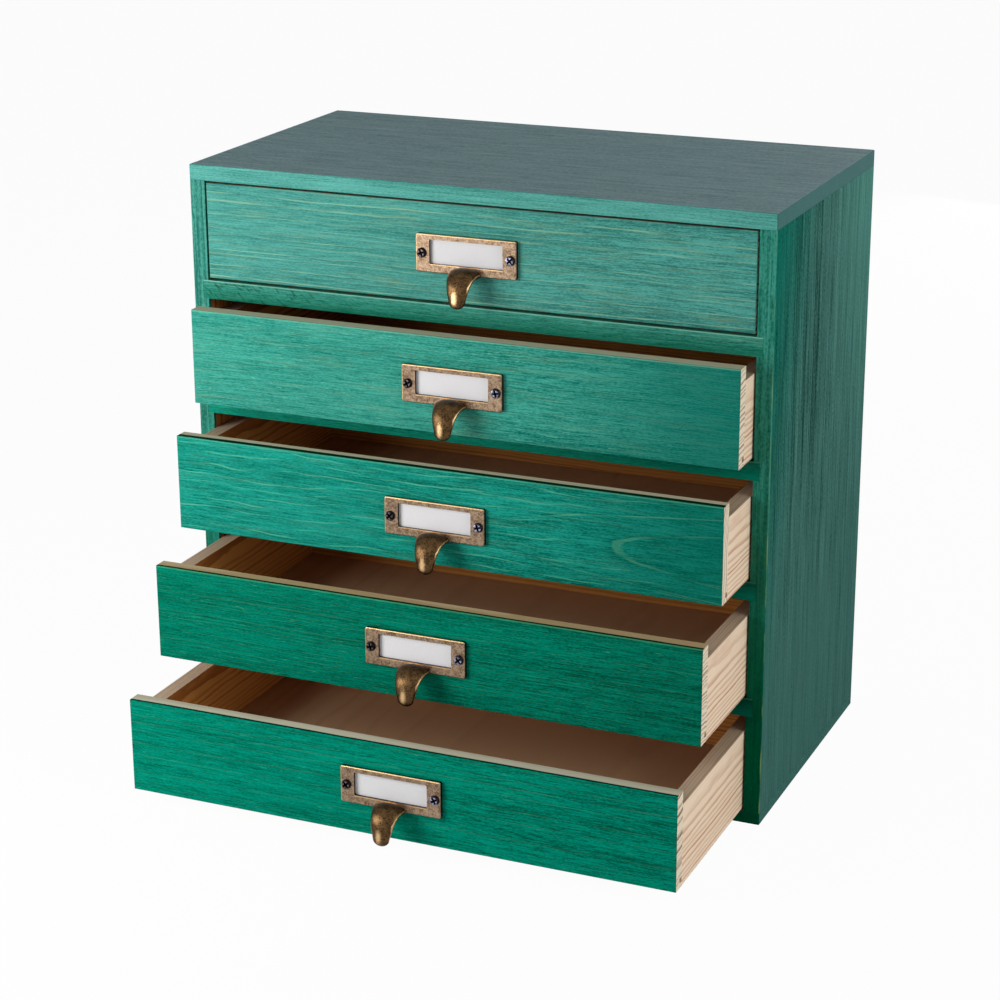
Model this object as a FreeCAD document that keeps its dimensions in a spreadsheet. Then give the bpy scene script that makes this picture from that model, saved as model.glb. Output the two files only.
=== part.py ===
"""Wooden cabinet with five shallow drawers for craft stamps.

Lengths are in millimetres. +X points right, +Y to the back and +Z up, and the
origin is the middle of the cabinet's footprint on the surface it stands on.
The cabinet's front face is at y = -cabinet_depth / 2. Cabinet boards are drawn
from the front edge backwards and drawer pieces from the drawer's front face
and bottom edge, then each one is placed.
"""
import FreeCAD, Part

import math
import os
import re

import Sketcher

# Every size of the cabinet, one line each.
SIZES = {
    # carcase boards
    "cabinet_width": 350,
    "cabinet_depth": 187,
    "cabinet_height": 350,
    "top_thickness": 9,
    "side_thickness": 9.4,
    "floor_thickness": 7,
    "back_thickness": 3,
    "back_lip": 4.5,
    "edge_easing": 0.6,
    # rails between the drawers and the runners behind them
    "rail_height": 10.8,
    "rail_depth": 18,
    "rail_housing": 3.5,
    "runner_width": 8,
    # wooden dowels and steel brads that hold the boards
    "dowel_diameter": 5,
    "dowel_in_side": 11,
    "dowel_in_board": 4.5,
    "dowel_inset": 24,
    "brad_head_diameter": 3.2,
    "brad_head_height": 0.6,
    "brad_diameter": 1.4,
    "brad_length": 13,
    "brad_inset": 20,
    # gaps round a drawer
    "gap_below_front": 1.6,
    "gap_above_front": 1.15,
    "gap_beside_front": 1.1,
    "slide_clearance": 0.3,
    "back_clearance": 0.5,
    # drawer boards
    "front_thickness": 9,
    "drawer_side_thickness": 8.7,
    "drawer_side_drop": 8,
    "drawer_back_thickness": 8.7,
    "ply_thickness": 2.8,
    "ply_clearance": 0.2,
    "groove_depth": 3,
    "groove_lift": 2.6,
    # how far each drawer stands open, from the top drawer down
    "opened_1": 0,
    "opened_2": 23,
    "opened_3": 45.4,
    "opened_4": 74.9,
    "opened_5": 110.3,
    # how far each hand-fitted pull sits right of and above the middle of its front
    "pull_right_1": -1.6,
    "pull_right_2": -0.6,
    "pull_right_3": -1.8,
    "pull_right_4": -0.8,
    "pull_right_5": 0,
    "pull_up_1": -0.3,
    "pull_up_2": 0,
    "pull_up_3": -1.5,
    "pull_up_4": 0.7,
    "pull_up_5": 1.4,
    # label plate of a pull
    "plate_width": 60.5,
    "plate_height": 21.6,
    "plate_thickness": 2.3,
    "plate_corner": 1.3,
    "plate_bevel": 0.6,
    "plate_side_bar": 8.25,
    "plate_top_bar": 2.9,
    "plate_bottom_bar": 4.9,
    "window_corner": 0.7,
    "card_thickness": 0.5,
    "card_overlap": 1.5,
    "card_clearance": 0.2,
    # hook of a pull
    "hook_root_width": 18.5,
    "hook_neck_width": 12.2,
    "hook_neck_thickness": 4.9,
    "hook_tip_width": 10,
    "hook_tip_thickness": 4.3,
    "hook_stem": 1.8,
    "hook_bend": 10,
    "hook_drop": 4.4,
    "hook_tip_length": 4.2,
    "hook_flare": 2.4,
    "hook_setback": 0.2,
    "web_radius": 7,
    "web_spread": 1.25,
    # screws of a pull
    "screw_head_diameter": 5.7,
    "screw_head_height": 1.3,
    "screw_head_round": 0.9,
    "screw_edge": 0.8,
    "screw_diameter": 2.6,
    "screw_length": 9.5,
    "screw_clearance": 0.05,
    "screw_slot_length": 3.4,
    "screw_slot_width": 0.8,
    "screw_slot_depth": 0.8,
}

# Two faces this near each other, in millimetres, lie in one plane.
SAME_PLANE = 1e-4
# A cut that takes less than this, in cubic millimetres, has missed its board.
LEAST_CUT = 1e-3

DRAWERS = 5
RAILS = DRAWERS - 1
DOWELS_ALONG_SIDE = 3
BRADS_UP_SIDE = 4
BRADS_ALONG_TOP = 3
# Each cross slot is turned by this many degrees, left and right screw, from
# the top drawer down.
SCREW_TURNS = ((20, 42), (30, 14), (45, 18), (16, 40), (38, 28))
# The hook turns down by this many degrees, in a few even steps, and its tip
# closes like an egg at these angles.
HOOK_TURN = 82
HOOK_STEPS = 4
TIP_ANGLES = (0, 25, 45, 62, 76)

# Lengths that follow from the sizes above.
FORMULAS = {
    "inner_width": "cabinet_width - 2 * side_thickness",
    "side_height": "cabinet_height - top_thickness - floor_thickness",
    "opening_height": f"(side_height - {RAILS} * rail_height) / {DRAWERS}",
    "inner_depth": "cabinet_depth - back_thickness",
    "back_width": "inner_width + 2 * back_lip",
    "back_height": "side_height + 2 * back_lip",
    "runner_rise": "gap_below_front - slide_clearance",
    "front_width": "inner_width - 2 * gap_beside_front",
    "front_height": "opening_height - gap_below_front - gap_above_front",
    "drawer_depth": "inner_depth - back_clearance",
    "drawer_side_height": "front_height - drawer_side_drop",
    "drawer_inner_width": "front_width - 2 * drawer_side_thickness",
    "drawer_inner_depth": "drawer_depth - front_thickness - drawer_back_thickness",
    "groove_height": "ply_thickness + ply_clearance",
    "ply_tongue": "groove_depth - ply_clearance",
    "plate_low": "-plate_height / 2",
    "window_width": "plate_width - 2 * plate_side_bar",
    "window_height": "plate_height - plate_top_bar - plate_bottom_bar",
    "window_low": "plate_low + plate_bottom_bar",
    "card_pocket_width": "window_width + 2 * card_overlap",
    "card_pocket_low": "window_low - card_overlap",
    "card_pocket_depth": "card_thickness + card_clearance",
    "screw_side": "plate_width / 2 - screw_edge - screw_head_diameter / 2",
    "hook_root_thickness": "plate_bottom_bar + hook_flare - 2 * hook_setback",
    "hook_middle": "window_low - hook_setback - hook_root_thickness / 2",
    "web_side": "hook_root_width / 2 + web_spread",
    "web_reach": "hook_flare - 2 * hook_setback",
    "web_bow": "(web_side * web_side + web_reach * web_reach) / (2 * web_reach) - web_radius",
}

doc = FreeCAD.newDocument("StampDrawers")
sheet = doc.addObject("Spreadsheet::Sheet", "Sizes")
parts = []
cuts = []


def fill_sheet():
    """Write each size in the sheet, with its name beside it."""
    for row, (name, length) in enumerate(SIZES.items(), start=1):
        sheet.set(f"A{row}", name)
        sheet.set(f"B{row}", str(length))
        sheet.setAlias(f"B{row}", name)
    doc.recompute()


def formula(text):
    """Spell out a length so that every name in it points at the sheet."""
    def spell(word):
        name = word.group(0)
        if name in FORMULAS:
            return f"({formula(FORMULAS[name])})"
        return f"Sizes.{name}" if name in SIZES else name
    return re.sub(r"[a-z]\w*", spell, text)


def length_of(text):
    """The present value of a length, in millimetres."""
    return float(sheet.evalExpression(formula(text)))


def level_floor(level):
    """Height of the floor of one drawer opening, counted from the top."""
    return f"(cabinet_height - top_thickness - {level} * opening_height - {level - 1} * rail_height)"


def new_body(label):
    return doc.addObject("PartDesign::Body", label)


def place(piece, x="0", y="0", z="0"):
    """Bind the place of a finished piece and list it for export."""
    for axis, text in zip("xyz", (x, y, z)):
        piece.setExpression(f"Placement.Base.{axis}", formula(text))
    parts.append(piece)


def place_in_cabinet(piece):
    place(piece, y="-cabinet_depth / 2")


def place_in_drawer(piece, level, x="0", z="0"):
    """Stand a piece in its open drawer; x and z are its place on the drawer's front."""
    place(piece, x=x, y=f"-cabinet_depth / 2 - opened_{level}",
          z=f"{level_floor(level)} + gap_below_front + {z}")


def place_on_pull(piece, level):
    place_in_drawer(piece, level, f"pull_right_{level}", f"front_height / 2 + pull_up_{level}")


def origin_plane(body, role):
    return next(plane for plane in body.Origin.OriginFeatures if plane.Role == role)


def sketch_on(body, name, role, lift="0"):
    """A sketch on one of the body's origin planes, lifted along the plane's normal."""
    sketch = body.newObject("Sketcher::SketchObject", name)
    sketch.AttachmentSupport = [(origin_plane(body, role), "")]
    sketch.MapMode = "FlatFace"
    sketch.setExpression("AttachmentOffset.Base.z", formula(lift))
    return sketch


def bind_constraint(sketch, constraint, text):
    index = sketch.addConstraint(constraint)
    sketch.setExpression(f"Constraints[{index}]", formula(text))


def pin_point(sketch, edge, end, x, y):
    """Hold one end of an edge at a distance from the sketch's origin."""
    for kind, text in (("DistanceX", x), ("DistanceY", y)):
        bind_constraint(sketch, Sketcher.Constraint(kind, -1, 1, edge, end, length_of(text)), text)


def add_rectangle(sketch, left, low, wide, high):
    """Draw a rectangle from its lower left corner."""
    first = sketch.GeometryCount
    x0, y0 = length_of(left), length_of(low)
    x1, y1 = x0 + length_of(wide), y0 + length_of(high)
    corners = [FreeCAD.Vector(x, y, 0) for x, y in ((x0, y0), (x1, y0), (x1, y1), (x0, y1))]
    for side in range(4):
        sketch.addGeometry(Part.LineSegment(corners[side], corners[(side + 1) % 4]))
    for side in range(4):
        following = first + (side + 1) % 4
        sketch.addConstraint(Sketcher.Constraint("Coincident", first + side, 2, following, 1))
        sketch.addConstraint(Sketcher.Constraint(("Horizontal", "Vertical")[side % 2], first + side))
    pin_point(sketch, first, 1, left, low)
    bind_constraint(sketch, Sketcher.Constraint("DistanceX", first, 1, first, 2, x1 - x0), wide)
    bind_constraint(sketch, Sketcher.Constraint("DistanceY", first + 1, 1, first + 1, 2, y1 - y0), high)


def add_circles(sketch, centres, diameter):
    """Draw one circle of the same diameter at each centre."""
    for x, y in centres:
        centre = FreeCAD.Vector(length_of(x), length_of(y), 0)
        radius = length_of(diameter) / 2
        index = sketch.addGeometry(Part.Circle(centre, FreeCAD.Vector(0, 0, 1), radius))
        pin_point(sketch, index, 3, x, y)
        bind_constraint(sketch, Sketcher.Constraint("Radius", index, radius), f"({diameter}) / 2")


def pad(body, sketch, length, back=False):
    """Raise a sketch along its normal, or against it."""
    feature = body.newObject("PartDesign::Pad", f"{sketch.Name}_pad")
    feature.Profile = sketch
    feature.Reversed = back
    feature.setExpression("Length", formula(length))


def pocket(body, sketch, depth, along=False):
    """Cut a sketch in against its normal, or along it."""
    feature = body.newObject("PartDesign::Pocket", f"{sketch.Name}_cut")
    feature.Profile = sketch
    feature.Reversed = along
    feature.setExpression("Length", formula(depth))
    cuts.append(feature)


def board(label, x, y, z, wide, deep, high):
    """A rectangular board from its left, front, lower corner."""
    body = new_body(label)
    sketch = sketch_on(body, "outline", "XY_Plane", z)
    add_rectangle(sketch, x, y, wide, deep)
    pad(body, sketch, high)
    return body


def cut_block(body, name, x, y, z, wide, deep, high):
    """Cut a rectangular block out of a board."""
    sketch = sketch_on(body, name, "XY_Plane", z)
    add_rectangle(sketch, x, y, wide, deep)
    pocket(body, sketch, high, along=True)


def lies_in(edge, axis, at):
    """True where an edge lies in the plane that one coordinate sets."""
    box = edge.BoundBox
    low = getattr(box, f"{axis}Min")
    high = getattr(box, f"{axis}Max")
    return abs(low - at) < SAME_PLANE and abs(high - at) < SAME_PLANE


def crosses_plate(edge):
    """True where an edge runs from the back of the pull's plate to its front."""
    return abs(edge.BoundBox.YLength - length_of("plate_thickness")) < SAME_PLANE


def is_straight(edge):
    return edge.Curve.TypeId == "Part::GeomLine"


def round_edges(body, name, wanted, radius):
    """Round the edges of the body's last feature that the test picks."""
    doc.recompute()
    tip = body.Tip
    chosen = [f"Edge{n}" for n, edge in enumerate(tip.Shape.Edges, start=1) if wanted(edge)]
    if not chosen:
        raise RuntimeError(f"{body.Label}: no edge to round for {name}")
    feature = body.newObject("PartDesign::Fillet", name)
    feature.Base = (tip, chosen)
    feature.setExpression("Radius", formula(radius))
    return feature


def ease_outer_edges(body):
    """Sand the edges where two outer faces of the cabinet meet."""
    half_width = length_of("cabinet_width / 2")
    outer = (
        ("X", -half_width),
        ("X", half_width),
        ("Y", 0),
        ("Y", length_of("cabinet_depth")),
        ("Z", 0),
        ("Z", length_of("cabinet_height")),
    )

    def on_two_faces(edge):
        return is_straight(edge) and sum(lies_in(edge, axis, at) for axis, at in outer) == 2

    round_edges(body, "eased", on_two_faces, "edge_easing")


def evenly(count, low, high):
    """Formulas for evenly spaced places from one length to another."""
    return [f"({low}) + {n} * (({high}) - ({low})) / {count - 1}" for n in range(count)]


# --- cabinet -----------------------------------------------------------------

def dowel_row(side):
    """Dowels stand in the middle of a side panel's edge; side is -1 for left and 1 for right."""
    across = f"{side} * (cabinet_width - side_thickness) / 2"
    return [(across, y) for y in evenly(DOWELS_ALONG_SIDE, "dowel_inset", "cabinet_depth - dowel_inset")]


def both_dowel_rows():
    return dowel_row(-1) + dowel_row(1)


def brad_centres():
    """Brads follow the back panel's edge, over the middle of the lip."""
    across = "(inner_width + back_lip) / 2"
    low = "floor_thickness - back_lip / 2"
    high = "floor_thickness + side_height + back_lip / 2"
    up = evenly(BRADS_UP_SIDE, "floor_thickness + brad_inset", "floor_thickness + side_height - brad_inset")
    along = evenly(BRADS_ALONG_TOP, "2 * brad_inset - inner_width / 2", "inner_width / 2 - 2 * brad_inset")
    centres = [(f"{sign} * {across}", z) for sign in ("-1", "1") for z in up]
    return centres + [(x, z) for z in (low, high) for x in along]


def brads_between(axis, low, high):
    """The brads whose place along one axis is inside a board."""
    index = "xz".index(axis)
    return [place for place in brad_centres() if length_of(low) < length_of(place[index]) < length_of(high)]


def cut_back_rebate(body):
    """Let the back panel into the rear edge of a board."""
    cut_block(body, "back_rebate", "-back_width / 2", "inner_depth", "floor_thickness - back_lip",
              "back_width", "back_thickness", "back_height")


def drill_dowel_holes(body, name, centres, low, depth):
    sketch = sketch_on(body, name, "XY_Plane", low)
    add_circles(sketch, centres, "dowel_diameter")
    pocket(body, sketch, depth, along=True)


def drill_brad_holes(body, centres):
    """Holes for the brads, from the rebate forwards into a board."""
    sketch = sketch_on(body, "brad_holes", "XZ_Plane", "-inner_depth")
    add_circles(sketch, centres, "brad_diameter")
    pocket(body, sketch, "brad_length - back_thickness", along=True)


def make_top_panel():
    body = board("top_panel", "-cabinet_width / 2", "0", "cabinet_height - top_thickness",
                 "cabinet_width", "cabinet_depth", "top_thickness")
    cut_back_rebate(body)
    drill_dowel_holes(body, "dowel_holes", both_dowel_rows(), "cabinet_height - top_thickness",
                      "dowel_in_board")
    drill_brad_holes(body, brads_between("z", "cabinet_height - top_thickness", "cabinet_height"))
    ease_outer_edges(body)
    place_in_cabinet(body)


def make_bottom_panel():
    body = board("bottom_panel", "-cabinet_width / 2", "0", "0",
                 "cabinet_width", "cabinet_depth", "floor_thickness")
    cut_back_rebate(body)
    drill_dowel_holes(body, "dowel_holes", both_dowel_rows(), "floor_thickness - dowel_in_board",
                      "dowel_in_board")
    drill_brad_holes(body, brads_between("z", "0", "floor_thickness"))
    ease_outer_edges(body)
    place_in_cabinet(body)


def make_side_panel(label, side):
    """A side panel stands between top and bottom; side is -1 for left and 1 for right."""
    outer, inner = "cabinet_width / 2", "inner_width / 2"
    left = f"-{outer}" if side < 0 else inner
    body = board(label, left, "0", "floor_thickness", "side_thickness", "cabinet_depth", "side_height")
    housing_left = f"-{inner} - rail_housing" if side < 0 else inner
    for rail in range(1, RAILS + 1):
        cut_block(body, f"rail_housing_{rail}", housing_left, "0", f"{level_floor(rail)} - rail_height",
                  "rail_housing", "rail_depth", "rail_height")
    cut_back_rebate(body)
    drill_dowel_holes(body, "lower_dowel_holes", dowel_row(side), "floor_thickness", "dowel_in_side")
    drill_dowel_holes(body, "upper_dowel_holes", dowel_row(side),
                      "floor_thickness + side_height - dowel_in_side", "dowel_in_side")
    low, high = (f"-{outer}", f"-{inner}") if side < 0 else (inner, outer)
    drill_brad_holes(body, brads_between("x", low, high))
    ease_outer_edges(body)
    place_in_cabinet(body)


def make_back_panel():
    body = board("back_panel", "-back_width / 2", "inner_depth", "floor_thickness - back_lip",
                 "back_width", "back_thickness", "back_height")
    shanks = sketch_on(body, "brad_holes", "XZ_Plane", "-cabinet_depth")
    add_circles(shanks, brad_centres(), "brad_diameter")
    pocket(body, shanks, "back_thickness", along=True)
    heads = sketch_on(body, "brad_head_seats", "XZ_Plane", "-cabinet_depth")
    add_circles(heads, brad_centres(), "brad_head_diameter")
    pocket(body, heads, "brad_head_height", along=True)
    place_in_cabinet(body)


def make_rails():
    """Front rails are let into the side panels, one between two drawers."""
    for rail in range(1, RAILS + 1):
        body = board(f"front_rail_{rail}", "-inner_width / 2 - rail_housing", "0",
                     f"{level_floor(rail)} - rail_height", "inner_width + 2 * rail_housing",
                     "rail_depth", "rail_height")
        place_in_cabinet(body)


def make_runners():
    """A pair of runners for each drawer; the lowest pair is thin and lies on the bottom panel."""
    for level in range(1, DRAWERS + 1):
        body = new_body(f"runners_{level}")
        on_panel = level == DRAWERS
        low = "floor_thickness" if on_panel else f"{level_floor(level)} - rail_height"
        high = "runner_rise" if on_panel else "rail_height + runner_rise"
        sketch = sketch_on(body, "outline", "XY_Plane", low)
        for left in ("-inner_width / 2", "inner_width / 2 - runner_width"):
            add_rectangle(sketch, left, "rail_depth", "runner_width", "inner_depth - rail_depth")
        pad(body, sketch, high)
        place_in_cabinet(body)


def make_dowels():
    ends = {
        "bottom_dowels": "floor_thickness - dowel_in_board",
        "top_dowels": "cabinet_height - top_thickness - dowel_in_side",
    }
    for label, low in ends.items():
        body = new_body(label)
        sketch = sketch_on(body, "outline", "XY_Plane", low)
        add_circles(sketch, both_dowel_rows(), "dowel_diameter")
        pad(body, sketch, "dowel_in_side + dowel_in_board")
        place_in_cabinet(body)


def make_brads():
    """Brads with flat heads, flush with the back panel."""
    body = new_body("back_panel_brads")
    heads = sketch_on(body, "heads", "XZ_Plane", "-cabinet_depth")
    add_circles(heads, brad_centres(), "brad_head_diameter")
    pad(body, heads, "brad_head_height")
    shanks = sketch_on(body, "shanks", "XZ_Plane", "-cabinet_depth + brad_head_height")
    add_circles(shanks, brad_centres(), "brad_diameter")
    pad(body, shanks, "brad_length - brad_head_height")
    place_in_cabinet(body)


# --- drawers -----------------------------------------------------------------

def screw_centres(x="0", z="0"):
    """The pull's two screws, each side of the middle of its plate."""
    return [(f"{x} + {sign} * screw_side", z) for sign in ("-1", "1")]


def make_front(level):
    body = board(f"drawer_{level}_front", "-front_width / 2", "0", "0",
                 "front_width", "front_thickness", "front_height")
    cut_block(body, "ply_groove", "-front_width / 2", "front_thickness - groove_depth", "groove_lift",
              "front_width", "groove_depth", "groove_height")
    pilots = sketch_on(body, "pilot_holes", "XZ_Plane")
    add_circles(pilots, screw_centres(f"pull_right_{level}", f"front_height / 2 + pull_up_{level}"),
                "screw_diameter + 2 * screw_clearance")
    pocket(body, pilots, "screw_length - plate_thickness + screw_clearance")
    round_edges(body, "eased", lambda edge: is_straight(edge) and lies_in(edge, "Y", 0), "edge_easing")
    place_in_drawer(body, level)


def make_side(level, name, side):
    """A drawer side reaches from the front to the end of the drawer, grooved on its inner face."""
    left = "-front_width / 2" if side < 0 else "front_width / 2 - drawer_side_thickness"
    body = board(f"drawer_{level}_{name}", left, "front_thickness", "0",
                 "drawer_side_thickness", "drawer_depth - front_thickness", "drawer_side_height")
    groove_left = "-drawer_inner_width / 2 - groove_depth" if side < 0 else "drawer_inner_width / 2"
    cut_block(body, "ply_groove", groove_left, "front_thickness", "groove_lift",
              "groove_depth", "drawer_depth - front_thickness", "groove_height")
    place_in_drawer(body, level)


def make_back(level):
    """The drawer's back board stands between its sides."""
    body = board(f"drawer_{level}_back", "-drawer_inner_width / 2", "drawer_depth - drawer_back_thickness",
                 "0", "drawer_inner_width", "drawer_back_thickness", "drawer_side_height")
    cut_block(body, "ply_groove", "-drawer_inner_width / 2", "drawer_depth - drawer_back_thickness",
              "groove_lift", "drawer_inner_width", "groove_depth", "groove_height")
    place_in_drawer(body, level)


def make_bottom(level):
    """The plywood bottom lies in the grooves of all four boards."""
    body = board(f"drawer_{level}_bottom", "-drawer_inner_width / 2 - ply_tongue",
                 "front_thickness - ply_tongue", "groove_lift", "drawer_inner_width + 2 * ply_tongue",
                 "drawer_inner_depth + 2 * ply_tongue", "ply_thickness")
    place_in_drawer(body, level)


def add_flare(body):
    """The web under the plate: a hollow curve on each side runs into a shallow bow under the hook."""
    sketch = sketch_on(body, "flare", "XZ_Plane")
    side, reach, low = length_of("web_side"), length_of("web_reach"), length_of("plate_low")
    hollow, bow = length_of("web_radius"), length_of("web_bow")
    turn = 2 * math.atan(reach / side)
    curves = (
        (-side, low - hollow, hollow, math.pi / 2 - turn, math.pi / 2),
        (side, low - hollow, hollow, math.pi / 2, math.pi / 2 + turn),
        (0, low - reach + bow, bow, 3 * math.pi / 2 - turn, 3 * math.pi / 2 + turn),
    )
    for x, z, radius, first, last in curves:
        circle = Part.Circle(FreeCAD.Vector(x, z, 0), FreeCAD.Vector(0, 0, 1), radius)
        sketch.addGeometry(Part.ArcOfCircle(circle, first, last))
    sketch.addGeometry(Part.LineSegment(FreeCAD.Vector(-side, low, 0), FreeCAD.Vector(side, low, 0)))
    joints = (
        ("Tangent", 2, 1, 0, 1),
        ("Coincident", 0, 2, 3, 1),
        ("Coincident", 3, 2, 1, 1),
        ("Tangent", 1, 2, 2, 2),
    )
    for joint in joints:
        sketch.addConstraint(Sketcher.Constraint(*joint))
    pin_point(sketch, 0, 3, "-web_side", "plate_low - web_radius")
    pin_point(sketch, 1, 3, "web_side", "plate_low - web_radius")
    for edge in range(2):
        bind_constraint(sketch, Sketcher.Constraint("Radius", edge, hollow), "web_radius")
    pins = (
        ("DistanceX", 3, 1, "-web_side"),
        ("DistanceX", 3, 2, "web_side"),
        ("DistanceY", 2, 3, "plate_low - web_reach + web_bow"),
    )
    for kind, edge, end, text in pins:
        bind_constraint(sketch, Sketcher.Constraint(kind, -1, 1, edge, end, length_of(text)), text)
    pad(body, sketch, "plate_thickness")


def make_plate(level):
    """The pull's flat plate: window, card pocket open at the top, screw holes and web."""
    body = new_body(f"plate_{level}")
    outline = sketch_on(body, "outline", "XZ_Plane")
    add_rectangle(outline, "-plate_width / 2", "plate_low", "plate_width", "plate_height")
    pad(body, outline, "plate_thickness")
    round_edges(body, "corners", crosses_plate, "plate_corner")
    add_flare(body)
    front_face = length_of("-plate_thickness")
    round_edges(body, "bevel", lambda edge: lies_in(edge, "Y", front_face), "plate_bevel")
    window = sketch_on(body, "window", "XZ_Plane", "plate_thickness")
    add_rectangle(window, "-window_width / 2", "window_low", "window_width", "window_height")
    pocket(body, window, "plate_thickness")
    half_window = length_of("window_width / 2")

    def window_corner(edge):
        at_side = lies_in(edge, "X", half_window) or lies_in(edge, "X", -half_window)
        return at_side and crosses_plate(edge)

    round_edges(body, "window_corners", window_corner, "window_corner")
    card_pocket = sketch_on(body, "card_pocket", "XZ_Plane")
    add_rectangle(card_pocket, "-card_pocket_width / 2", "card_pocket_low", "card_pocket_width",
                  "plate_height / 2 - card_pocket_low")
    pocket(body, card_pocket, "card_pocket_depth", along=True)
    holes = sketch_on(body, "screw_holes", "XZ_Plane", "plate_thickness")
    add_circles(holes, screw_centres(), "screw_diameter + 2 * screw_clearance")
    pocket(body, holes, "plate_thickness")
    return body


def hook_section(name, out, height, turn, width, thickness):
    """One oval section of the hook, square to its middle line."""
    oval = doc.addObject("Part::Ellipse", name)
    oval.setExpression("MajorRadius", formula(f"({width}) / 2"))
    oval.setExpression("MinorRadius", formula(f"({thickness}) / 2"))
    oval.Placement.Rotation = FreeCAD.Rotation(FreeCAD.Vector(1, 0, 0), 90 + turn)
    oval.setExpression("Placement.Base.y", formula(f"-({out})"))
    oval.setExpression("Placement.Base.z", formula(height))
    return oval


def make_hook(level):
    """The hook runs out of the plate, bends down, narrows and ends in a round tip."""
    sections = [hook_section(f"hook_{level}_root", "plate_thickness / 2", "hook_middle", 0,
                             "hook_root_width", "hook_root_thickness")]
    for step in range(HOOK_STEPS + 1):
        share = step / HOOK_STEPS
        turn = share * HOOK_TURN
        out = f"plate_thickness + hook_stem + hook_bend * {math.sin(math.radians(turn)):.6f}"
        height = f"hook_middle - hook_bend * {1 - math.cos(math.radians(turn)):.6f}"
        width = f"hook_root_width + {share} * (hook_neck_width - hook_root_width)"
        thickness = f"hook_root_thickness + {share} * (hook_neck_thickness - hook_root_thickness)"
        sections.append(hook_section(f"hook_{level}_bend_{step}", out, height, turn, width, thickness))
    ahead, down = math.cos(math.radians(HOOK_TURN)), math.sin(math.radians(HOOK_TURN))
    for step, angle in enumerate(TIP_ANGLES):
        run = f"(hook_drop + hook_tip_length * {math.sin(math.radians(angle)):.6f})"
        shrink = f"{math.cos(math.radians(angle)):.6f}"
        sections.append(hook_section(f"hook_{level}_tip_{step}", f"{out} + {ahead:.6f} * {run}",
                                     f"{height} - {down:.6f} * {run}", HOOK_TURN,
                                     f"{shrink} * hook_tip_width", f"{shrink} * hook_tip_thickness"))
    hook = doc.addObject("Part::Loft", f"hook_{level}")
    hook.Sections = sections
    hook.Solid = True
    return hook


def make_pull(level):
    """Plate and hook are one brass casting."""
    pull = doc.addObject("Part::MultiFuse", f"drawer_{level}_pull")
    pull.Shapes = [make_plate(level), make_hook(level)]
    place_on_pull(pull, level)


def make_card(level):
    body = board(f"drawer_{level}_label_card", "-card_pocket_width / 2 + card_clearance", "-card_thickness",
                 "card_pocket_low", "card_pocket_width - 2 * card_clearance", "card_thickness",
                 "window_height + 2 * card_overlap")
    place_on_pull(body, level)


def add_slot(sketch, x, z, turn):
    """Draw one bar of a screw's cross, turned by some degrees."""
    first = sketch.GeometryCount
    half_along, half_across = math.cos(math.radians(turn)) / 2, math.sin(math.radians(turn)) / 2
    corners = []
    for u, v in ((-1, -1), (1, -1), (1, 1), (-1, 1)):
        corners.append((
            f"{x} + {u * half_along:.6f} * screw_slot_length + {-v * half_across:.6f} * screw_slot_width",
            f"{z} + {u * half_across:.6f} * screw_slot_length + {v * half_along:.6f} * screw_slot_width"))
    points = [FreeCAD.Vector(length_of(across), length_of(up), 0) for across, up in corners]
    for side in range(4):
        sketch.addGeometry(Part.LineSegment(points[side], points[(side + 1) % 4]))
    for side in range(4):
        following = first + (side + 1) % 4
        sketch.addConstraint(Sketcher.Constraint("Coincident", first + side, 2, following, 1))
        pin_point(sketch, first + side, 1, *corners[side])


def make_screws(level):
    """Two round-headed screws with a cross slot."""
    body = new_body(f"drawer_{level}_pull_screws")
    heads = sketch_on(body, "heads", "XZ_Plane", "plate_thickness")
    add_circles(heads, screw_centres(), "screw_head_diameter")
    pad(body, heads, "screw_head_height")
    top = length_of("-plate_thickness - screw_head_height")
    round_edges(body, "rounded", lambda edge: lies_in(edge, "Y", top), "screw_head_round")
    shanks = sketch_on(body, "shanks", "XZ_Plane", "plate_thickness")
    add_circles(shanks, screw_centres(), "screw_diameter")
    pad(body, shanks, "screw_length", back=True)
    for name, quarter in (("first", 0), ("second", 90)):
        slots = sketch_on(body, f"{name}_slots", "XZ_Plane", "plate_thickness + screw_head_height")
        for (x, z), turn in zip(screw_centres(), SCREW_TURNS[level - 1]):
            add_slot(slots, x, z, turn + quarter)
        pocket(body, slots, "screw_slot_depth")
    place_on_pull(body, level)


def make_drawer(level):
    make_front(level)
    make_side(level, "left_side", -1)
    make_side(level, "right_side", 1)
    make_back(level)
    make_bottom(level)
    make_pull(level)
    make_card(level)
    make_screws(level)


def check_document():
    """Stop on a failed object, a cut that removed nothing or a bad solid."""
    for thing in doc.Objects:
        if "Invalid" in thing.State or "Error" in thing.State:
            raise RuntimeError(f"{thing.Label}: {thing.State}")
    for cut in cuts:
        if cut.BaseFeature.Shape.Volume - cut.Shape.Volume < LEAST_CUT:
            raise RuntimeError(f"{cut.Label} of {cut.getParentGeoFeatureGroup().Label} cuts nothing")
    for piece in parts:
        if piece.Shape.isNull() or not piece.Shape.isValid():
            raise RuntimeError(f"{piece.Label}: shape is not sound")


def export_parts():
    os.makedirs("parts", exist_ok=True)
    for piece in parts:
        piece.Shape.exportStep(os.path.join("parts", f"{piece.Label}.step"))


fill_sheet()
make_top_panel()
make_bottom_panel()
make_side_panel("left_side_panel", -1)
make_side_panel("right_side_panel", 1)
make_back_panel()
make_rails()
make_runners()
make_dowels()
make_brads()
for number in range(1, DRAWERS + 1):
    make_drawer(number)
doc.recompute()
check_document()
export_parts()
print(len(parts), "pieces")
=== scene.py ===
"""Looks for a cabinet of craft stamp drawers: stained and bare pine, cast brass pulls and bare cards."""
import math

import bmesh
import bpy
from mathutils import Matrix, Vector


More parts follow.
